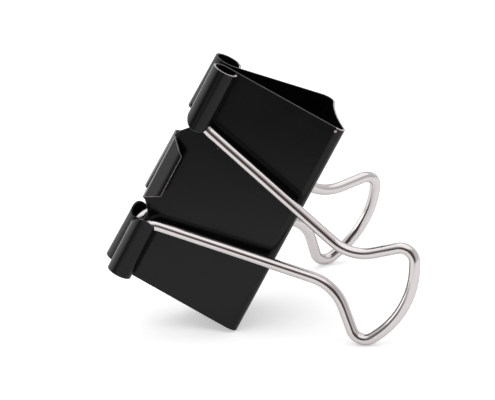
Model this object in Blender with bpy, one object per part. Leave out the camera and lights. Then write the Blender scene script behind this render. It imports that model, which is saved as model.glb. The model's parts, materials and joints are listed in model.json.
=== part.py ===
"""Fold-back binder clip, 51 mm wide, standing on a desk on its two handle loops and one spine corner.

The body is bent from one blank of spring steel: a bowed spine, two converging jaws, a round roll at each
end of a jaw's lip and a folded tab between the rolls. Each jaw springs open about its corner bend. A plated
wire handle is sprung into the two rolls of each jaw and swings about their common axis.

Clip axes: X runs from the lips to the spine, Y crosses the jaws with the front jaw at -Y, and Z runs along
the width. The empty named stance leans these axes to the pose in which the clip rests on its three feet.
"""
import math

import bmesh
import bpy
import numpy as np
from mathutils import Euler, Matrix, Vector

MM = 0.001

# Body sheet, in millimetres and degrees
CLIP_WIDTH = 51.0
SHEET = 0.45
DEPTH = 30.13
JAW_ANGLE = 19.0
CORNER_RADIUS = 1.6
SPINE_BOW = 0.75
FLEX_GAP = 0.3

# Rolls that hold the handles, and the tab between them
ROLL_DIAMETER = 5.5
ROLL_SPACING = 1.7
ROLL_WRAP = 314.0
ROLL_INNER_END = 13.05
ROLL_OUTER_CORNER = 1.2
ROLL_INNER_CORNER = 2.2
NOTCH_APEX = 9.2
TAB_HALF_WIDTH = 7.5
TAB_TAPER = 2.2
TAB_LENGTH = 3.9
TAB_FOLD = 143.0
TAB_FOLD_RADIUS = 0.575
TAB_CLEARANCE = 0.15

# Wire handles
WIRE_DIAMETER = 2.4
PIN_END = 20.0
HINGE_HALF_WIDTH = 12.1
HINGE_BEND_RADIUS = 1.9
NECK = (42.0, 3.5)
NECK_RADIUS = 10.0
LOOP_CORNER = (52.5, 12.9)
LOOP_CORNER_RADIUS = 3.0
LOOP_TIP = 59.4
LOOP_TIP_RADIUS = 19.2

# Resting pose of the handles
FRONT_SWING = 21.6
REAR_SWING = 22.8
REAR_ROCK = 3.25

# Colours
BLACK = (0.014, 0.014, 0.015)
NICKEL = (0.78, 0.76, 0.74)

# Facets
ROLL_STEPS = 30
BEND_STEPS = 6
TAB_STEPS = 8
BOW_STEPS = 8
WIRE_RESOLUTION = 4
ARC_STEP = 9.0

ROLL_RADIUS = ROLL_DIAMETER / 2
ROLL_MID = ROLL_RADIUS - SHEET / 2
ALPHA = math.radians(JAW_ANGLE)


def heading(angle):
    """Unit vector at an angle, in the section plane of depth and half opening."""
    return Vector((math.cos(angle), math.sin(angle)))


# Section of one half of the body, as (depth, distance from the middle plane) of the sheet's mid line
TO_LIP = -heading(ALPHA)
OUTWARD = Vector((-math.sin(ALPHA), math.cos(ALPHA)))
ROLL_CENTRE = Vector((ROLL_RADIUS, ROLL_SPACING / 2 + ROLL_RADIUS))
ROLL_START = ROLL_CENTRE - OUTWARD * ROLL_MID


def corner():
    """Centre of the corner bend, the end angle of the spine's bow, and the bend's total turn."""
    bow_end = math.radians(1.0)
    for _ in range(20):
        depth = DEPTH + SHEET / 2 - CORNER_RADIUS * math.cos(bow_end)
        along = (depth - ROLL_START.x) / math.cos(ALPHA)
        half = ROLL_START.y + along * math.sin(ALPHA) - CORNER_RADIUS / math.cos(ALPHA)
        reach = half - CORNER_RADIUS * math.sin(bow_end)
        bow_end = 2 * math.atan(SPINE_BOW / reach)
    return Vector((depth, half)), bow_end, math.pi / 2 + ALPHA + bow_end


CORNER_CENTRE, BOW_END, CORNER_TURN = corner()
HINGE_ANGLE = math.pi / 2 + ALPHA - CORNER_TURN / 2
HINGE = CORNER_CENTRE + heading(HINGE_ANGLE) * CORNER_RADIUS
PLATE_START = CORNER_CENTRE + OUTWARD * CORNER_RADIUS
CUT_ANGLE = FLEX_GAP / 2 / CORNER_RADIUS


def arc(centre, radius, start, end, steps):
    """Points of an arc, both ends included."""
    return [centre + heading(start + (end - start) * i / steps) * radius for i in range(steps + 1)]


def corner_arc(start, end):
    """Points of the corner bend between two angles."""
    return arc(CORNER_CENTRE, CORNER_RADIUS, start, end, BEND_STEPS)


def sheet_object(name, strips, side, origin, material):
    """Thicken strips of the mid surface into one sheet; side is -1 for the front half and 1 for the rear."""
    mesh = bpy.data.meshes.new(name)
    bm = bmesh.new()
    known = {}

    def vertex(point, width):
        place = (point.x - origin.x, side * point.y - origin.y, width)
        key = tuple(round(value, 5) for value in place)
        if key not in known:
            known[key] = bm.verts.new([value * MM for value in place])
        return known[key]

    for (first, first_widths), (second, second_widths) in strips:
        for i in range(len(first_widths) - 1):
            ring = [vertex(first, first_widths[i]), vertex(first, first_widths[i + 1])]
            ring += [vertex(second, second_widths[i + 1]), vertex(second, second_widths[i])]
            bm.faces.new(ring)
    bmesh.ops.recalc_face_normals(bm, faces=bm.faces)
    bm.to_mesh(mesh)
    bm.free()
    mesh.materials.append(material)
    thing = bpy.data.objects.new(name, mesh)
    bpy.context.collection.objects.link(thing)
    thick = thing.modifiers.new("sheet", "SOLIDIFY")
    thick.thickness = SHEET * MM
    thick.offset = 0.0
    thick.use_even_offset = True
    return thing


def pairs(stations):
    """Neighbouring stations, as the strips between them."""
    return list(zip(stations[:-1], stations[1:]))


def rounding(distance, radius):
    """How far a rounded corner departs from the straight edge, at a distance from the corner's start."""
    if distance >= radius:
        return 0.0
    return radius - math.sqrt(radius ** 2 - (radius - distance) ** 2)


def roll_strips():
    """One roll above the middle: from the notch, round the wire pin and back to the plate."""
    wrap = math.radians(ROLL_WRAP)
    notch = ROLL_INNER_END - NOTCH_APEX
    stations = []
    for i in range(ROLL_STEPS + 1):
        turned = wrap * i / ROLL_STEPS
        point = ROLL_CENTRE + heading(ALPHA - math.pi / 2 - turned) * ROLL_MID
        past = ROLL_MID * turned
        left = ROLL_MID * (wrap - turned)
        inner = ROLL_INNER_END - rounding(past, notch) + rounding(left, ROLL_INNER_CORNER)
        outer = CLIP_WIDTH / 2 - rounding(left, ROLL_OUTER_CORNER)
        stations.append((point, (inner, outer)))
    return stations


def tab_strips():
    """The tab in the middle of the lip, folded outwards and back to stand off the plate."""
    lip = TAB_CLEARANCE + SHEET / 2
    drop = TAB_FOLD_RADIUS * (1 - math.cos(ALPHA))
    straight = (ROLL_START.y - lip - drop) / math.sin(ALPHA)
    start = ROLL_START + TO_LIP * straight
    centre = start + OUTWARD * TAB_FOLD_RADIUS
    fold = math.radians(TAB_FOLD)
    length = TAB_LENGTH + TAB_FOLD_RADIUS * fold
    stations = [(ROLL_START, NOTCH_APEX), (start, TAB_HALF_WIDTH)]
    for i in range(1, TAB_STEPS + 1):
        turned = fold * i / TAB_STEPS
        point = centre + heading(ALPHA - math.pi / 2 - turned) * TAB_FOLD_RADIUS
        stations.append((point, TAB_HALF_WIDTH - TAB_TAPER * TAB_FOLD_RADIUS * turned / length))
    back = heading(ALPHA + math.pi - fold)
    stations.append((stations[-1][0] + back * TAB_LENGTH, TAB_HALF_WIDTH - TAB_TAPER))
    return [(point, (-half, half)) for point, half in stations]


def jaw(name, side, material):
    """One jaw, from the middle of its corner bend to its rolls and tab."""
    across = (-CLIP_WIDTH / 2, -NOTCH_APEX, NOTCH_APEX, CLIP_WIDTH / 2)
    bend = corner_arc(HINGE_ANGLE + CUT_ANGLE, math.pi / 2 + ALPHA)
    plate = [(point, across) for point in bend + [ROLL_START]]
    roll = roll_strips()
    lower_roll = [(point, (-outer, -inner)) for point, (inner, outer) in roll]
    strips = pairs(plate) + pairs(roll) + pairs(lower_roll) + pairs(tab_strips())
    origin = Vector((HINGE.x, side * HINGE.y))
    thing = sheet_object(name, strips, side, origin, material)
    thing.location = (origin.x * MM, origin.y * MM, 0.0)
    return thing


def spine(material):
    """The bowed spine between the two corner bends."""
    across = (-CLIP_WIDTH / 2, CLIP_WIDTH / 2)
    bend = corner_arc(HINGE_ANGLE - CUT_ANGLE, -BOW_END)
    bow_radius = bend[-1].y / math.sin(BOW_END)
    bow_centre = Vector((bend[-1].x + bow_radius * math.cos(BOW_END), 0.0))
    bow = arc(bow_centre, bow_radius, math.pi - BOW_END, math.pi, BOW_STEPS // 2)
    half = bend + bow[1:]
    section = half + [Vector((point.x, -point.y)) for point in reversed(half[:-1])]
    strips = pairs([(point, across) for point in section])
    return sheet_object("spine", strips, 1, Vector((0.0, 0.0)), material)


def rounded_path(corners):
    """Points of a path of straight runs whose inner corners, given as (x, z, radius), are rounded by arcs."""
    points = [Vector(corners[0][:2])]
    for before, here, after in zip(corners[:-2], corners[1:-1], corners[2:]):
        at = Vector(here[:2])
        back = (Vector(before[:2]) - at).normalized()
        ahead = (Vector(after[:2]) - at).normalized()
        half = back.angle(ahead) / 2
        centre = at + (back + ahead).normalized() * (here[2] / math.sin(half))
        start = at + back * (here[2] / math.tan(half)) - centre
        turn = start.angle_signed(at + ahead * (here[2] / math.tan(half)) - centre)
        steps = max(2, math.ceil(abs(math.degrees(turn)) / ARC_STEP))
        for i in range(steps + 1):
            points.append(centre + Matrix.Rotation(-turn * i / steps, 2) @ start)
    points.append(Vector(corners[-1][:2]))
    return points


def handle_path():
    """Centre line of the handle in its own plane, as (reach from the hinge axis, place along the width)."""
    upper = [
        (0.0, PIN_END, 0.0),
        (0.0, HINGE_HALF_WIDTH, HINGE_BEND_RADIUS),
        (*NECK, NECK_RADIUS),
        (*LOOP_CORNER, LOOP_CORNER_RADIUS),
    ]
    lower = [(reach, -width, radius) for reach, width, radius in reversed(upper)]
    return rounded_path(upper + [(LOOP_TIP, 0.0, LOOP_TIP_RADIUS)] + lower)


def handle(name, side, swing, rock, material):
    """A bent wire handle, hung in the rolls of one jaw and turned to its resting pose."""
    curve = bpy.data.curves.new(name, "CURVE")
    curve.dimensions = "3D"
    curve.bevel_depth = WIRE_DIAMETER / 2 * MM
    curve.bevel_resolution = WIRE_RESOLUTION
    curve.use_fill_caps = True
    points = handle_path()
    wire = curve.splines.new("POLY")
    wire.points.add(len(points) - 1)
    for knot, place in zip(wire.points, points):
        knot.co = (place.x * MM, 0.0, place.y * MM, 1.0)
    curve.materials.append(material)
    thing = bpy.data.objects.new(name, curve)
    bpy.context.collection.objects.link(thing)
    thing.rotation_euler = (0.0, math.radians(rock), side * math.radians(swing))
    hinge = ROLL_CENTRE - HINGE
    thing.location = (hinge.x * MM, side * hinge.y * MM, 0.0)
    return thing


def feet():
    """Points in clip axes that can touch the desk: both handles' wires and the spine's two lower corners."""
    groups = []
    for side, swing, rock in ((-1, FRONT_SWING, 0.0), (1, REAR_SWING, REAR_ROCK)):
        turn = Euler((0.0, math.radians(rock), side * math.radians(swing))).to_matrix()
        axis = Vector((ROLL_CENTRE.x, side * ROLL_CENTRE.y, 0.0))
        groups.append(np.array([axis + turn @ Vector((p.x, 0.0, p.y)) for p in handle_path()]))
    edge = corner_arc(math.pi / 2 + ALPHA, -BOW_END)
    out = [point + (point - CORNER_CENTRE).normalized() * SHEET / 2 for point in edge]
    groups.append(np.array([(p.x, side * p.y, -CLIP_WIDTH / 2) for p in out for side in (-1, 1)]))
    return groups


def stand(groups):
    """Lean and side tilt at which both handle loops and the spine's corner touch one flat desk."""
    sag = (WIRE_DIAMETER / 2, WIRE_DIAMETER / 2, 0.0)

    def misfit(angles):
        up = np.array(Euler((angles[1], angles[0], 0.0)).to_matrix())[2]
        front, rear, body = [float((group @ up).min()) - lower for group, lower in zip(groups, sag)]
        return np.array([front - body, rear - body])

    angles = np.radians([30.0, 2.0])
    step = 1e-4
    for _ in range(30):
        here = misfit(angles)
        slopes = [(misfit(angles + step * unit) - here) / step for unit in np.eye(2)]
        angles = angles - np.linalg.solve(np.array(slopes).T, here)
    return angles


def painted(name, colour, metallic, roughness):
    """A material of one colour."""
    material = bpy.data.materials.new(name)
    material.use_nodes = True
    shader = material.node_tree.nodes["Principled BSDF"]
    shader.inputs["Base Color"].default_value = (*colour, 1.0)
    shader.inputs["Metallic"].default_value = metallic
    shader.inputs["Roughness"].default_value = roughness
    return material


def settle(stance, pieces):
    """Move the stance so that the object's box stands on the origin, centred."""
    bpy.context.view_layer.update()
    graph = bpy.context.evaluated_depsgraph_get()
    corners = []
    for piece in pieces:
        shape = piece.evaluated_get(graph)
        mesh = shape.to_mesh()
        corners += [shape.matrix_world @ vertex.co for vertex in mesh.vertices]
        shape.to_mesh_clear()
    cloud = np.array(corners)
    low, high = cloud.min(axis=0), cloud.max(axis=0)
    middle = (low + high) / 2
    stance.location = (-middle[0], -middle[1], -low[2])


def main():
    for thing in list(bpy.data.objects):
        bpy.data.objects.remove(thing)
    black = painted("black_lacquer", BLACK, 0.0, 0.38)
    plated = painted("bright_nickel_plate", NICKEL, 1.0, 0.16)

    lean, tilt = stand(feet())
    stance = bpy.data.objects.new("stance", None)
    bpy.context.collection.objects.link(stance)
    stance.rotation_euler = (tilt, lean, 0.0)

    back = spine(black)
    back.parent = stance
    pieces = [back]
    for name, side, swing, rock in (("front", -1, FRONT_SWING, 0.0), ("rear", 1, REAR_SWING, REAR_ROCK)):
        plate = jaw(f"{name}_jaw", side, black)
        plate.parent = back
        wire = handle(f"{name}_handle", side, swing, rock, plated)
        wire.parent = plate
        pieces += [plate, wire]
    settle(stance, pieces)


main()
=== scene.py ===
"""Black fold-back binder clip with bright wire handles, standing on a white desk on loops and a corner."""
import json
import math

import bmesh
import bpy
from mathutils import Matrix, Vector


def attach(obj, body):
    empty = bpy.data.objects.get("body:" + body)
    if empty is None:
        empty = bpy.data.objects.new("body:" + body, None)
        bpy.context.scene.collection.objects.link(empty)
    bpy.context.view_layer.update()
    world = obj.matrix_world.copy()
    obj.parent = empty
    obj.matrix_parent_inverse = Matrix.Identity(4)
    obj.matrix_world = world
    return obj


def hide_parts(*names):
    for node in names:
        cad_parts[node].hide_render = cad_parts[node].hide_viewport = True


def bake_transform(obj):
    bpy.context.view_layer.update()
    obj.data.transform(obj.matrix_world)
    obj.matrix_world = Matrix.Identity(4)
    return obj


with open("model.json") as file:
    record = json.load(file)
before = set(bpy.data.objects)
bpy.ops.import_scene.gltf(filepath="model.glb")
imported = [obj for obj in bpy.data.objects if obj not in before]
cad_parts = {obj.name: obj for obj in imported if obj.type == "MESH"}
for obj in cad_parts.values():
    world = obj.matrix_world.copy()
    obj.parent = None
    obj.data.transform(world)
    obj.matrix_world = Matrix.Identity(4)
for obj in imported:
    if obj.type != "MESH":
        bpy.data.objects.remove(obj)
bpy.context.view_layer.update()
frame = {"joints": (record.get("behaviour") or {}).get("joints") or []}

# Stance: the clip's own axes, read from its joints. Depth runs from the lips to the spine, across from the
# front jaw to the rear one, and width along the bends. Pieces are drawn in millimetres in these axes, then
# stood up on the desk.
MM = 0.001
BEND_DEPTH = 29.832
joints = {joint["name"]: joint for joint in frame["joints"]}
front_bend = Vector(joints["front_jaw_flex"]["pos_m"])
rear_bend = Vector(joints["rear_jaw_flex"]["pos_m"])
along_width = Vector(joints["front_jaw_flex"]["axis"]).normalized()
across_jaws = (rear_bend - front_bend).normalized()
along_depth = across_jaws.cross(along_width)
standing = Matrix((along_depth, across_jaws, along_width)).transposed().to_4x4()
standing.translation = (front_bend + rear_bend) / 2 - along_depth * BEND_DEPTH * MM
clip_axes = standing @ Matrix.Scale(MM, 4)


# Body: one blank of spring steel, stamped, rolled at the lips, folded into a spine and two jaws and lacquered
# black. Each half is cut as a flat blank, then bent along its section; its sheared edges are dark, with a
# bright steel colour painted on them as a highlight where they catch the light. The rear jaw has slightly
# wider rolls and a lip that runs a little askew and is eased away from the front one.
SHEET = 0.45
WIDTH = 51.0
SPINE_MIDDLE = 29.605
BOW_RADIUS, BOW_TURN = 41.985, 10.846
CORNER_RADIUS = 1.6
ROLL_TURN = 318.0
ROLL_OUTER_ROUND = 2.0
TONGUE_BACK, TONGUE_SLOPE = 4.2, 3.4
TONGUE_END_ROUND, TONGUE_TIP_ROUND, TONGUE_BACK_ROUND = 1.2, 2.6, 0.9
NOTCH_DEPTH, NOTCH_END, NOTCH_SLOPE = 0.85, 13.8, 1.9
NOTCH_ROLL_ROUND, NOTCH_TAB_ROUND = 1.3, 0.6
FOLD_RADIUS, FOLD_TURN = 0.575, 143.0
FLAP_RUN = 3.9
FLAP_CURL_RADIUS, FLAP_CURL = 3.2, 24.0
FOLD_ROUND, FLAP_ROUND, FREE_EDGE_ROUND = 0.15, 0.5, 0.3
OUTER_RIM, INNER_RIM = 0.13, 0.05
TAB_SIDE, ROLL_SIDE = 10.0, 11.0
SIDE_CUTS = (9.0, TAB_SIDE, 10.25, 10.5, 10.75, ROLL_SIDE)
EDGE_HIGHLIGHT_GAP_END = 20.0
CREASE_END = 1.07
BEND_STEP = 5.0
FOLD_STEPS, CURL_STEPS = 14, 4
# Material slots after the lacquer: the dull sheared edge, then two painted highlights, a bright steel colour
# on edges that catch the light and a lighter grey along the tab's crease
DULL, EDGE_HIGHLIGHT, CREASE_HIGHLIGHT = 1, 2, 3

# Each half gives its side, the corner's turn, the plate's run, the roll's radius and the lip's run; widths of
# the tab's fold, flap and free edge at its lower and upper end; width, travel and slant of its upper and
# lower tongue; the lip's outward turn; where edges and crease get painted highlights; and how askew the lip
# is.
FRONT_HALF = {"across": -1.0, "corner": 119.846, "plate": 26.113, "roll": 2.525, "lip": 2.476,
              "tab": ((-9.2, -8.4, -5.8), (8.5, 6.7, 4.25)), "tongues": ((10.2, 8.2, 4.6), (10.6, 8.2, 4.6)),
              "eased": 0.0, "edge_highlight_start": 1.5, "crease_highlight_start": 0.80, "lighter_edge_span": (6.5, 12.0), "askew": 0.0}
REAR_HALF = {"across": 1.0, "corner": 120.846, "plate": 24.99, "roll": 2.815, "lip": 3.9,
             "tab": ((-6.9, -6.4, -4.7), (8.1, 7.6, 5.8)), "tongues": ((10.6, 8.2, 5.3), (11.2, 7.4, 5.3)),
             "eased": 12.0, "edge_highlight_start": 4.6, "crease_highlight_start": 0.40, "lighter_edge_span": (0.0, 0.0), "askew": 0.021}


def smooth_share(value, low, high):
    """Share from 0 to 1 of the way between two limits, easing in and out."""
    share = min(1.0, max(0.0, (value - low) / (high - low)))
    return share * share * (3.0 - 2.0 * share)


def finished(name, bm, materials):
    """Stand a mesh drawn in the clip's axes on the desk, shade it smooth and give it its materials."""
    sharp = math.radians(38.0)
    bmesh.ops.transform(bm, matrix=clip_axes, verts=bm.verts)
    bmesh.ops.recalc_face_normals(bm, faces=bm.faces)
    for edge in bm.edges:
        edge.smooth = edge.calc_face_angle(0.0) < sharp
    for face in bm.faces:
        face.smooth = True
    mesh = bpy.data.meshes.new(name)
    bm.to_mesh(mesh)
    bm.free()
    for material in materials:
        mesh.materials.append(material)
    piece = bpy.data.objects.new(name, mesh)
    bpy.context.scene.collection.objects.link(piece)
    weighted = piece.modifiers.new("flat faces keep their shading", "WEIGHTED_NORMAL")
    weighted.keep_sharp = True
    return piece


def bend(radius, turn):
    """A bend of the section as its length and its turn, which is positive to the left."""
    return radius * math.radians(abs(turn)), math.radians(turn)


def section_point(runs, travel, offset):
    """Point of the bent section after a travel from the middle of the spine, moved off its mid line."""
    at = Vector((SPINE_MIDDLE, 0.0))
    heading = math.pi / 2
    for length, turn in runs:
        step = min(travel, length)
        half = turn * step / length / 2
        chord = step * math.sin(half) / half if abs(half) > 1e-9 else step
        at += chord * Vector((math.cos(heading + half), math.sin(heading + half)))
        heading += 2 * half
        travel -= step
    return at + offset * Vector((math.sin(heading), -math.cos(heading)))


def flat_blank(half, lip, roll_end, fold, flap_end):
    """Half of the stamped blank, lying flat: travel along X, width along Y, and each corner's rounding."""
    notch = lip + NOTCH_DEPTH
    size = half["roll"] / FRONT_HALF["roll"]
    upper, lower = [
        [
            (roll_end, WIDTH / 2, ROLL_OUTER_ROUND),
            (roll_end, tongue + slant, TONGUE_END_ROUND),
            (lip + tip * size, tongue, TONGUE_TIP_ROUND),
            (lip + TONGUE_BACK * size, tongue + TONGUE_SLOPE, TONGUE_BACK_ROUND),
            (notch, NOTCH_END, NOTCH_ROLL_ROUND),
        ]
        for tongue, tip, slant in half["tongues"]
    ]
    (low_fold, low_flap, low_free), (high_fold, high_flap, high_free) = half["tab"]
    flap = flap_end - FLAP_RUN
    outline = [(0.0, WIDTH / 2, 0.0)] + upper
    outline += [(notch, high_fold + NOTCH_SLOPE, NOTCH_TAB_ROUND), (fold, high_fold, FOLD_ROUND)]
    outline += [(flap, high_flap, FLAP_ROUND), (flap_end, high_free, FREE_EDGE_ROUND)]
    outline += [(flap_end, low_free, FREE_EDGE_ROUND), (flap, low_flap, FLAP_ROUND)]
    outline += [(fold, low_fold, FOLD_ROUND), (notch, low_fold - NOTCH_SLOPE, NOTCH_TAB_ROUND)]
    outline += [(travel, -width, cut) for travel, width, cut in reversed(lower)]
    outline += [(0.0, -WIDTH / 2, 0.0)]
    bm = bmesh.new()
    corners = [bm.verts.new((travel, width, -SHEET / 2)) for travel, width, cut in outline]
    bm.faces.new(corners)
    for corner, (travel, width, cut) in zip(corners, outline):
        if cut:
            bmesh.ops.bevel(bm, geom=[corner], offset=cut, offset_type="OFFSET", affect="VERTICES",
                            segments=6, profile=0.5, material=-1)
    made = bmesh.ops.extrude_face_region(bm, geom=bm.faces[:])["geom"]
    top = [item for item in made if isinstance(item, bmesh.types.BMVert)]
    bmesh.ops.translate(bm, verts=top, vec=(0.0, 0.0, SHEET))
    bmesh.ops.recalc_face_normals(bm, faces=bm.faces)
    return bm


def score(bm, place, across):
    """Cut the flat blank along a plane, so that it can bend there."""
    bmesh.ops.bisect_plane(bm, geom=bm.verts[:] + bm.edges[:] + bm.faces[:], dist=1e-5, plane_co=place,
                           plane_no=across)


def half_body(name, half, materials):
    """One half of the body, from the middle of the spine to a jaw's rolls and tab."""
    trunk = [bend(BOW_RADIUS, -BOW_TURN), bend(CORNER_RADIUS, half["corner"]), (half["plate"], 0.0)]
    roll_runs = trunk + [bend(half["roll"], -ROLL_TURN)]
    lip_run = (half["lip"], -math.radians(half["eased"]))
    fold_run = bend(FOLD_RADIUS, half["eased"] - FOLD_TURN)
    curl = bend(FLAP_CURL_RADIUS, -FLAP_CURL)
    tab_runs = trunk + [lip_run, fold_run, (FLAP_RUN - curl[0], 0.0), curl]
    lip = sum(length for length, turn in trunk)
    plate_start = lip - half["plate"]
    roll_end = lip + roll_runs[-1][0]
    fold = lip + half["lip"]
    fold_length = fold_run[0]
    flap_end = fold + fold_length + FLAP_RUN
    bm = flat_blank(half, lip, roll_end, fold, flap_end)

    # The press rounds one side of the sheared edges more than the other; the cut in mid spine stays square
    for level, rim, segments in ((SHEET / 2, OUTER_RIM, 3), (-SHEET / 2, INNER_RIM, 2)):
        sheared = [
            edge for edge in bm.edges
            if all(abs(v.co.z - level) < 1e-6 for v in edge.verts) and max(v.co.x for v in edge.verts) > 1e-6
        ]
        bmesh.ops.bevel(bm, geom=sheared, offset=rim, offset_type="OFFSET", affect="EDGES", segments=segments,
                        profile=0.5, material=-1)
    for face in bm.faces:
        if abs(face.normal.z) < 0.98:
            face.material_index = DULL

    edge_highlight_start = lip + half["edge_highlight_start"] * half["roll"]
    crease_start = fold + half["crease_highlight_start"] * fold_length
    crease_end = fold + CREASE_END * fold_length
    stations = [edge_highlight_start, crease_start, crease_end]
    travel = 0.0
    for length, turn in roll_runs:
        steps = max(2, math.ceil(math.degrees(abs(turn)) / BEND_STEP))
        stations += [travel + length * i / steps for i in range(1, steps + 1)]
        travel += length
    stations += [fold + fold_length * i / FOLD_STEPS for i in range(FOLD_STEPS + 1)]
    stations += [flap_end - curl[0] * i / CURL_STEPS for i in range(1, CURL_STEPS + 1)]
    for station in sorted(stations):
        score(bm, (station, 0.0, 0.0), (1.0, 0.0, 0.0))
    for width in SIDE_CUTS:
        for sign in (-1.0, 1.0):
            score(bm, (0.0, sign * width, 0.0), (0.0, 1.0, 0.0))

    # Painted highlight: edges of the rolls' outer ends, the tab and the spine get a bright steel colour, and
    # the tab's crease a lighter grey, where they catch the light; part of the front rolls' edges get that
    # grey too
    for face in bm.faces:
        travel, width, offset = face.calc_center_median()
        if face.material_index == DULL and travel > edge_highlight_start and not TAB_SIDE < abs(width) < EDGE_HIGHLIGHT_GAP_END:
            face.material_index = EDGE_HIGHLIGHT
        if face.material_index == DULL and travel < plate_start:
            face.material_index = EDGE_HIGHLIGHT
        if face.material_index == DULL and lip + half["lighter_edge_span"][0] < travel < lip + half["lighter_edge_span"][1]:
            face.material_index = CREASE_HIGHLIGHT
        if offset < -0.9 * SHEET / 2 and abs(width) < TAB_SIDE and crease_start < travel < crease_end:
            face.material_index = CREASE_HIGHLIGHT

    for vertex in bm.verts:
        travel, width, offset = vertex.co
        tab = section_point(tab_runs, travel, offset)
        roll = section_point(roll_runs, travel, offset)
        at = tab.lerp(roll, smooth_share(abs(width), TAB_SIDE, ROLL_SIDE))
        reach = min(1.0, max(0.0, (travel - plate_start) / half["plate"]))
        vertex.co = (at.x + half["askew"] * reach * width, half["across"] * at.y, width)
    return finished(name, bm, materials)


def node(tree, kind, **settings):
    """Add a node; settings name its properties, or its sockets when they start with in_."""
    made = tree.nodes.new(kind)
    for key, value in settings.items():
        if key.startswith("in_"):
            made.inputs[key[3:].replace("_", " ")].default_value = value
        else:
            setattr(made, key, value)
    return made


def unevenness():
    """Shared group: broad and fine unevenness of a coated surface and sparse specks, in object space."""
    tree = bpy.data.node_groups.new("coated metal unevenness", "ShaderNodeTree")
    scales = (("Broad Scale", 60.0), ("Fine Scale", 1500.0), ("Speck Scale", 220.0), ("Speck Size", 0.05))
    for name, value in scales:
        tree.interface.new_socket(name, in_out="INPUT", socket_type="NodeSocketFloat").default_value = value
    for name in ("Broad", "Fine", "Specks"):
        tree.interface.new_socket(name, in_out="OUTPUT", socket_type="NodeSocketFloat")
    entry = tree.nodes.new("NodeGroupInput")
    leave = tree.nodes.new("NodeGroupOutput")
    place = node(tree, "ShaderNodeTexCoord")
    broad = node(tree, "ShaderNodeTexNoise", in_Detail=3.0, in_Roughness=0.55)
    fine = node(tree, "ShaderNodeTexNoise", in_Detail=2.0, in_Roughness=0.5)
    cells = node(tree, "ShaderNodeTexVoronoi", in_Randomness=1.0)
    near = node(tree, "ShaderNodeMath", operation="LESS_THAN")
    chosen = node(tree, "ShaderNodeMath", operation="GREATER_THAN")
    cells_without_speck = 0.82
    chosen.inputs[1].default_value = cells_without_speck
    both = node(tree, "ShaderNodeMath", operation="MULTIPLY")
    red = node(tree, "ShaderNodeSeparateColor")
    for texture, scale in ((broad, "Broad Scale"), (fine, "Fine Scale"), (cells, "Speck Scale")):
        tree.links.new(place.outputs["Object"], texture.inputs["Vector"])
        tree.links.new(entry.outputs[scale], texture.inputs["Scale"])
    tree.links.new(cells.outputs["Distance"], near.inputs[0])
    tree.links.new(entry.outputs["Speck Size"], near.inputs[1])
    tree.links.new(cells.outputs["Color"], red.inputs["Color"])
    tree.links.new(red.outputs["Red"], chosen.inputs[0])
    tree.links.new(near.outputs[0], both.inputs[0])
    tree.links.new(chosen.outputs[0], both.inputs[1])
    tree.links.new(broad.outputs["Fac"], leave.inputs["Broad"])
    tree.links.new(fine.outputs["Fac"], leave.inputs["Fine"])
    tree.links.new(both.outputs[0], leave.inputs["Specks"])
    return tree


uneven = unevenness()


def coated(name, pattern, rough, bump, dark, light, speck):
    """A coated metal: colours mixed by broad unevenness, specks on top, roughness and bump from the group."""
    material = bpy.data.materials.new(name)
    material.use_nodes = True
    tree = material.node_tree
    shader = tree.nodes["Principled BSDF"]
    group = node(tree, "ShaderNodeGroup", node_tree=uneven)
    for key, value in pattern.items():
        group.inputs[key].default_value = value
    tone = node(tree, "ShaderNodeMix", data_type="RGBA")
    tone.inputs["A"].default_value = (*dark, 1.0)
    tone.inputs["B"].default_value = (*light, 1.0)
    specked = node(tree, "ShaderNodeMix", data_type="RGBA")
    specked.inputs["B"].default_value = (*speck, 1.0)
    spread = node(tree, "ShaderNodeMapRange", in_From_Min=0.3, in_From_Max=0.7, in_To_Min=rough[0],
                  in_To_Max=rough[1])
    height = node(tree, "ShaderNodeBump", in_Strength=bump, in_Distance=0.02 * MM)
    tree.links.new(group.outputs["Broad"], tone.inputs["Factor"])
    tree.links.new(tone.outputs["Result"], specked.inputs["A"])
    tree.links.new(group.outputs["Specks"], specked.inputs["Factor"])
    tree.links.new(specked.outputs["Result"], shader.inputs["Base Color"])
    tree.links.new(group.outputs["Broad"], spread.inputs["Value"])
    tree.links.new(spread.outputs["Result"], shader.inputs["Roughness"])
    tree.links.new(group.outputs["Fine"], height.inputs["Height"])
    tree.links.new(height.outputs["Normal"], shader.inputs["Normal"])
    return material, shader


def scar(material, shader, place, size, colour):
    """Knock the coat off around one place, given in the clip's axes, down to the metal or dirt below it."""
    tree = material.node_tree
    here = tree.nodes.new("ShaderNodeTexCoord")
    ragged = node(tree, "ShaderNodeTexNoise", in_Scale=4000.0, in_Detail=2.0)
    away = node(tree, "ShaderNodeVectorMath", operation="DISTANCE")
    away.inputs[1].default_value = clip_axes @ Vector(place)
    uneven_edge = node(tree, "ShaderNodeMath", operation="MULTIPLY_ADD")
    uneven_edge.inputs[1].default_value = size * MM
    inside = node(tree, "ShaderNodeMath", operation="LESS_THAN")
    inside.inputs[1].default_value = 1.5 * size * MM
    scarred = node(tree, "ShaderNodeMix", data_type="RGBA")
    scarred.inputs["B"].default_value = (*colour, 1.0)
    tree.links.new(here.outputs["Object"], away.inputs[0])
    tree.links.new(here.outputs["Object"], ragged.inputs["Vector"])
    tree.links.new(ragged.outputs["Fac"], uneven_edge.inputs[0])
    tree.links.new(away.outputs["Value"], uneven_edge.inputs[2])
    tree.links.new(uneven_edge.outputs[0], inside.inputs[0])
    tree.links.new(inside.outputs[0], scarred.inputs["Factor"])
    tree.links.new(shader.inputs["Base Color"].links[0].from_socket, scarred.inputs["A"])
    tree.links.new(scarred.outputs["Result"], shader.inputs["Base Color"])


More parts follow.
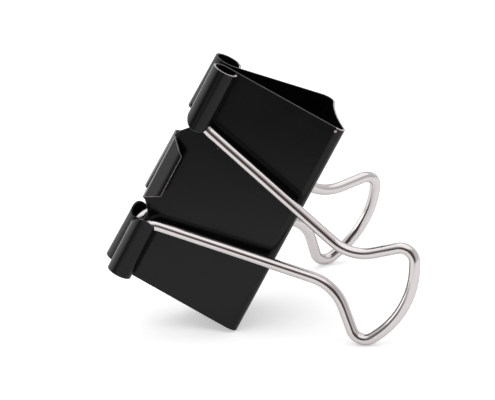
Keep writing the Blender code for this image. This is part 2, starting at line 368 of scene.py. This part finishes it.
lacquer, lacquer_shader = coated(
    "black_lacquer",
    {"Broad Scale": 90.0, "Fine Scale": 1400.0, "Speck Scale": 160.0, "Speck Size": 0.028},
    rough=(0.16, 0.22), bump=0.10,
    dark=(0.0017, 0.0016, 0.0017), light=(0.0034, 0.0033, 0.0034), speck=(0.16, 0.14, 0.13))
lacquer_shader.inputs["Specular IOR Level"].default_value = 0.21
scar(lacquer, lacquer_shader, place=(28.4, -9.97, 24.7), size=0.32, colour=(0.50, 0.40, 0.38))
sheared_steel = {"Broad Scale": 400.0, "Fine Scale": 6000.0, "Speck Scale": 900.0, "Speck Size": 0.2}
dull_edge, dull_edge_shader = coated(
    "lacquered_edge", sheared_steel, rough=(0.35, 0.5), bump=0.25,
    dark=(0.012, 0.011, 0.010), light=(0.044, 0.040, 0.038), speck=(0.015, 0.014, 0.014))
dull_edge_shader.inputs["Metallic"].default_value = 0.6
# Painted highlight: a bright steel colour for the sheared edges where they catch the light
painted_edge_highlight, painted_edge_highlight_shader = coated(
    "edge_highlight_steel", sheared_steel, rough=(0.3, 0.45), bump=0.25,
    dark=(0.31, 0.29, 0.285), light=(0.57, 0.54, 0.53), speck=(0.08, 0.08, 0.08))
painted_edge_highlight_shader.inputs["Metallic"].default_value = 0.85
# Painted highlight: a lighter grey along the tab's crease, where the fold catches the light
painted_crease_highlight, painted_crease_highlight_shader = coated(
    "painted_crease_highlight",
    {"Broad Scale": 300.0, "Fine Scale": 5000.0, "Speck Scale": 700.0, "Speck Size": 0.25},
    rough=(0.25, 0.4), bump=0.2,
    dark=(0.09, 0.087, 0.085), light=(0.19, 0.184, 0.18), speck=(0.03, 0.03, 0.03))
painted_crease_highlight_shader.inputs["Metallic"].default_value = 0.75

finishes = [lacquer, dull_edge, painted_edge_highlight, painted_crease_highlight]
front_body = half_body("front_body", FRONT_HALF, finishes)
rear_body = half_body("rear_body", REAR_HALF, finishes)

# A short stretch on both sides of each corner bend's middle is worked out for the sheet's flex but not used;
# each half is baked in place and hides its jaw and the spine
FLEX_REACH = 1.6
FLEX_LEAN = math.radians(139.1)
halves = ((front_body, "front_jaw", front_bend, -1.0), (rear_body, "rear_jaw", rear_bend, 1.0))
for piece, jaw, bend_line, side in halves:
    along = along_depth * math.cos(FLEX_LEAN) + across_jaws * side * math.sin(FLEX_LEAN)
    along = along * FLEX_REACH * MM
    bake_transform(piece)
    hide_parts(jaw, "spine")


# Handles: two alike steel wires, bent to a waisted loop and nickel plated. Their pins are sprung into the
# rolls of a jaw, and each handle lies at its own angle where it came to rest on the desk. The rear loop is
# bent a little out of true.
WIRE = 2.4
PIN_END = 20.0
PIN_END_ROUND = 0.25
ROLL_CENTRE = (2.75, 3.6)
LEG_BEND = 4.0
HALF_LOOP = [(42.0, 3.5, 10.0), (52.5, 12.9, 3.0)]
LOOP_TIP = (59.4, 0.0, 19.2)
TRUE_REACH, BENT_REACH = 3.0, 30.0


def feed(bm, rim, step):
    """Push the wire's open rim on by a straight run."""
    made = bmesh.ops.extrude_edge_only(bm, edges=rim)["geom"]
    moved = [item for item in made if isinstance(item, bmesh.types.BMVert)]
    bmesh.ops.translate(bm, verts=moved, vec=step)
    ends = set(moved)
    return [item for item in made if isinstance(item, bmesh.types.BMEdge) and set(item.verts) <= ends]


def wire_handle(name, across, swing, out_of_true, legs, material):
    """Bend one wire, run by run, in a plane of reach along X and width along Z, then hang it in its rolls.

    Its pins turn into the legs at the width given as legs. They stay along the hinge line, and the turn out
    of true grows along the reach.
    """
    bm = bmesh.new()
    bmesh.ops.create_circle(bm, cap_ends=True, radius=WIRE / 2, segments=24)
    bmesh.ops.translate(bm, verts=bm.verts, vec=(0.0, 0.0, PIN_END))
    half_handle = [(0.0, PIN_END, 0.0), (0.0, legs, LEG_BEND)] + HALF_LOOP
    mirrored = [(reach, -width, radius) for reach, width, radius in reversed(half_handle)]
    corners = half_handle + [LOOP_TIP] + mirrored
    places = [Vector((reach, 0.0, width)) for reach, width, radius in corners]
    rim = bm.edges[:]
    at = places[0]
    for before, here, after, corner in zip(places, places[1:], places[2:], corners[1:]):
        radius = corner[2]
        back = (before - here).normalized()
        ahead = (after - here).normalized()
        half = back.angle(ahead) / 2
        start = here + back * radius / math.tan(half)
        centre = here + (back + ahead).normalized() * radius / math.sin(half)
        turn = (math.pi - 2 * half) * math.copysign(1.0, ahead.cross(back).y)
        rim = feed(bm, rim, start - at)
        steps = max(3, math.ceil(math.degrees(abs(turn)) / BEND_STEP))
        spun = bmesh.ops.spin(bm, geom=rim, cent=centre, axis=(0.0, 1.0, 0.0), angle=turn, steps=steps)
        rim = [item for item in spun["geom_last"] if isinstance(item, bmesh.types.BMEdge)]
        at = here + ahead * radius / math.tan(half)
    rim = feed(bm, rim, places[-1] - at)
    bmesh.ops.edgeloop_fill(bm, edges=rim)
    ends = [edge for face in bm.faces if len(face.verts) > 4 for edge in face.edges]
    bmesh.ops.bevel(bm, geom=ends, offset=PIN_END_ROUND, offset_type="OFFSET", affect="EDGES", segments=3,
                    profile=0.5, material=-1)
    turned = Matrix.Rotation(math.radians(out_of_true), 3, "Y")
    for vertex in bm.verts:
        share = smooth_share(vertex.co.x, TRUE_REACH, BENT_REACH)
        vertex.co = vertex.co.lerp(turned @ vertex.co, share)
    hang = Matrix.Translation((ROLL_CENTRE[0], across * ROLL_CENTRE[1], 0.0))
    hang = hang @ Matrix.Rotation(across * math.radians(swing), 4, "Z")
    bmesh.ops.transform(bm, matrix=hang, verts=bm.verts)
    return finished(name, bm, [material])


nickel, nickel_shader = coated(
    "bright_nickel_plate",
    {"Broad Scale": 240.0, "Fine Scale": 2500.0, "Speck Scale": 300.0, "Speck Size": 0.03},
    rough=(0.10, 0.18), bump=0.05,
    dark=(0.53, 0.50, 0.50), light=(0.59, 0.555, 0.555), speck=(0.28, 0.26, 0.25))
nickel_shader.inputs["Metallic"].default_value = 1.0
nickel_shader.inputs["Specular Tint"].default_value = (0.62, 0.60, 0.60, 1.0)
scar(nickel, nickel_shader, place=(45.98, -21.24, 9.04), size=0.25, colour=(0.09, 0.08, 0.08))
front_handle = wire_handle("front_wire_handle", -1.0, swing=21.6, out_of_true=0.0, legs=12.6, material=nickel)
rear_handle = wire_handle("rear_wire_handle", 1.0, swing=22.8, out_of_true=3.25, legs=13.7, material=nickel)
for piece, body in ((front_handle, "front_handle"), (rear_handle, "rear_handle")):
    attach(piece, body)
    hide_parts(body)


# Desk: a plain white sheet under the clip. The eye and the plating see it as white paper, and it keeps the
# soft shadow of the clip; its front edge ends short, so that the lacquer also mirrors the darker room.
DESK_SIZE, DESK_SHIFT = 1.5, 1.23
DESK_GLOW = 0.34
bm = bmesh.new()
bmesh.ops.create_grid(bm, x_segments=1, y_segments=1, size=DESK_SIZE)
bmesh.ops.translate(bm, verts=bm.verts, vec=(0.0, DESK_SHIFT, 0.0))
desk_mesh = bpy.data.meshes.new("desk")
bm.to_mesh(desk_mesh)
bm.free()
desk = bpy.data.objects.new("desk", desk_mesh)
bpy.context.scene.collection.objects.link(desk)
paper = bpy.data.materials.new("white_desk")
paper.use_nodes = True
tree = paper.node_tree
tree.nodes.clear()
out = tree.nodes.new("ShaderNodeOutputMaterial")
matt = node(tree, "ShaderNodeBsdfDiffuse", in_Color=(0.86, 0.86, 0.86, 1.0))
glow = node(tree, "ShaderNodeEmission")
path = tree.nodes.new("ShaderNodeLightPath")
direct = node(tree, "ShaderNodeMath", operation="MAXIMUM")
seen = node(tree, "ShaderNodeMath", operation="MAXIMUM")
lit = node(tree, "ShaderNodeMath", operation="MULTIPLY")
lit.inputs[1].default_value = DESK_GLOW
both = tree.nodes.new("ShaderNodeAddShader")
tree.links.new(path.outputs["Is Camera Ray"], direct.inputs[0])
tree.links.new(path.outputs["Is Glossy Ray"], direct.inputs[1])
tree.links.new(direct.outputs[0], seen.inputs[0])
tree.links.new(path.outputs["Is Transmission Ray"], seen.inputs[1])
tree.links.new(seen.outputs[0], lit.inputs[0])
tree.links.new(lit.outputs[0], glow.inputs["Strength"])
tree.links.new(matt.outputs[0], both.inputs[0])
tree.links.new(glow.outputs[0], both.inputs[1])
tree.links.new(both.outputs[0], out.inputs["Surface"])
desk_mesh.materials.append(paper)


# Light: a large soft box overhead and a weaker one to the left, in a pale room. The room is darker towards
# the eye, with a dim, warm shade there whose lower edge slants, which the lacquer and the plating mirror.
SHADE_SLANT, SHADE_FOOT = -0.29, 0.272
SHADE_TINT = (1.0, 0.78, 0.68, 1.0)
WHITE = (1.0, 1.0, 1.0, 1.0)


def soft_box(name, place, aim, size, power):
    """Hang a rectangular lamp at a place and turn it to its aim."""
    lamp = bpy.data.lights.new(name, "AREA")
    lamp.shape = "RECTANGLE"
    lamp.size, lamp.size_y = size
    lamp.energy = power
    box = bpy.data.objects.new(name, lamp)
    box.location = place
    box.rotation_euler = (Vector(aim) - Vector(place)).to_track_quat("-Z", "Y").to_euler()
    bpy.context.scene.collection.objects.link(box)


soft_box("overhead_box", place=(0.05, -0.05, 0.75), aim=(0.0, 0.0, 0.0), size=(1.1, 1.0), power=2.4)
soft_box("left_box", place=(-0.61, 0.19, 0.21), aim=(0.0, 0.0, 0.03), size=(0.70, 0.28), power=0.74)

world = bpy.data.worlds.new("pale_room")
bpy.context.scene.world = world
world.use_nodes = True
tree = world.node_tree
tree.nodes.clear()
out = tree.nodes.new("ShaderNodeOutputWorld")
way = tree.nodes.new("ShaderNodeTexCoord")
split = tree.nodes.new("ShaderNodeSeparateXYZ")


def ramp(source, low, high, start, end):
    """Link a smooth step of a value from start to end between two limits."""
    step = node(tree, "ShaderNodeMapRange", interpolation_type="SMOOTHSTEP", in_From_Min=low,
                in_From_Max=high, in_To_Min=start, in_To_Max=end)
    tree.links.new(source, step.inputs["Value"])
    return step.outputs["Result"]


def join(operation, first, second):
    """Link a sum, product, quotient or extreme of two values; the second may be a number."""
    made = node(tree, "ShaderNodeMath", operation=operation)
    tree.links.new(first, made.inputs[0])
    if isinstance(second, float):
        made.inputs[1].default_value = second
    else:
        tree.links.new(second, made.inputs[1])
    return made.outputs[0]


tree.links.new(way.outputs["Generated"], split.inputs[0])
east, north, up = [split.outputs[axis] for axis in "XYZ"]
back_wall = ramp(north, low=-0.60, high=0.30, start=0.18, end=1.0)
right_wall = ramp(east, low=0.15, high=0.50, start=0.0, end=0.8)
table = ramp(up, low=0.03, high=0.11, start=0.85, end=0.0)
ceiling = ramp(up, low=0.42, high=0.72, start=0.0, end=0.85)
room = join("MAXIMUM", join("MAXIMUM", join("MAXIMUM", back_wall, right_wall), table), ceiling)

aside = join("DIVIDE", east, join("MINIMUM", north, -0.05))
rising = join("ADD", join("MULTIPLY", aside, SHADE_SLANT), join("ADD", up, SHADE_FOOT))
shade = ramp(rising, low=-0.025, high=0.025, start=0.0, end=1.0)
shade_edges = (
    ramp(up, low=0.50, high=0.66, start=1.0, end=0.0),
    ramp(aside, low=-0.36, high=-0.20, start=0.0, end=1.0),
    ramp(aside, low=0.60, high=0.68, start=1.0, end=0.0),
    ramp(north, low=-0.25, high=-0.05, start=1.0, end=0.0),
)
for edge in shade_edges:
    shade = join("MULTIPLY", shade, edge)
dimmed = node(tree, "ShaderNodeMix", data_type="FLOAT")
tree.links.new(shade, dimmed.inputs["Factor"])
tree.links.new(room, dimmed.inputs["A"])
tree.links.new(ramp(up, low=0.02, high=0.14, start=0.02, end=0.12), dimmed.inputs["B"])
tint = node(tree, "ShaderNodeMix", data_type="RGBA")
tint.inputs["A"].default_value = WHITE
tint.inputs["B"].default_value = SHADE_TINT
tree.links.new(shade, tint.inputs["Factor"])

path = tree.nodes.new("ShaderNodeLightPath")
strength = node(tree, "ShaderNodeMix", data_type="FLOAT")
strength.inputs["B"].default_value = 1.0
tree.links.new(path.outputs["Is Camera Ray"], strength.inputs["Factor"])
tree.links.new(dimmed.outputs["Result"], strength.inputs["A"])
colour = node(tree, "ShaderNodeMix", data_type="RGBA")
colour.inputs["B"].default_value = WHITE
tree.links.new(path.outputs["Is Camera Ray"], colour.inputs["Factor"])
tree.links.new(tint.outputs["Result"], colour.inputs["A"])
surround = tree.nodes.new("ShaderNodeBackground")
tree.links.new(strength.outputs["Result"], surround.inputs["Strength"])
tree.links.new(colour.outputs["Result"], surround.inputs["Color"])
tree.links.new(surround.outputs[0], out.inputs["Surface"])


# Camera: a long lens in front of the clip, a little above it and slightly rolled. Its place, aim and roll
# were fitted to the clip's outline.
CAMERA_PLACE = Vector((-61.65, -600.14, 256.32)) * MM
CAMERA_AIM = Vector((-0.77, 0.0, 26.56)) * MM
CAMERA_ROLL = -3.93
lens = bpy.data.cameras.new("camera")
lens.sensor_width = 36.0
lens.lens = 218.18
lens.clip_start = 0.01
camera = bpy.data.objects.new("camera", lens)
camera.location = CAMERA_PLACE
turned = (CAMERA_AIM - CAMERA_PLACE).to_track_quat("-Z", "Y").to_matrix()
camera.rotation_euler = (turned @ Matrix.Rotation(math.radians(CAMERA_ROLL), 3, "Z")).to_euler()
bpy.context.scene.collection.objects.link(camera)
bpy.context.scene.camera = camera
bpy.context.scene.view_settings.view_transform = "Standard"
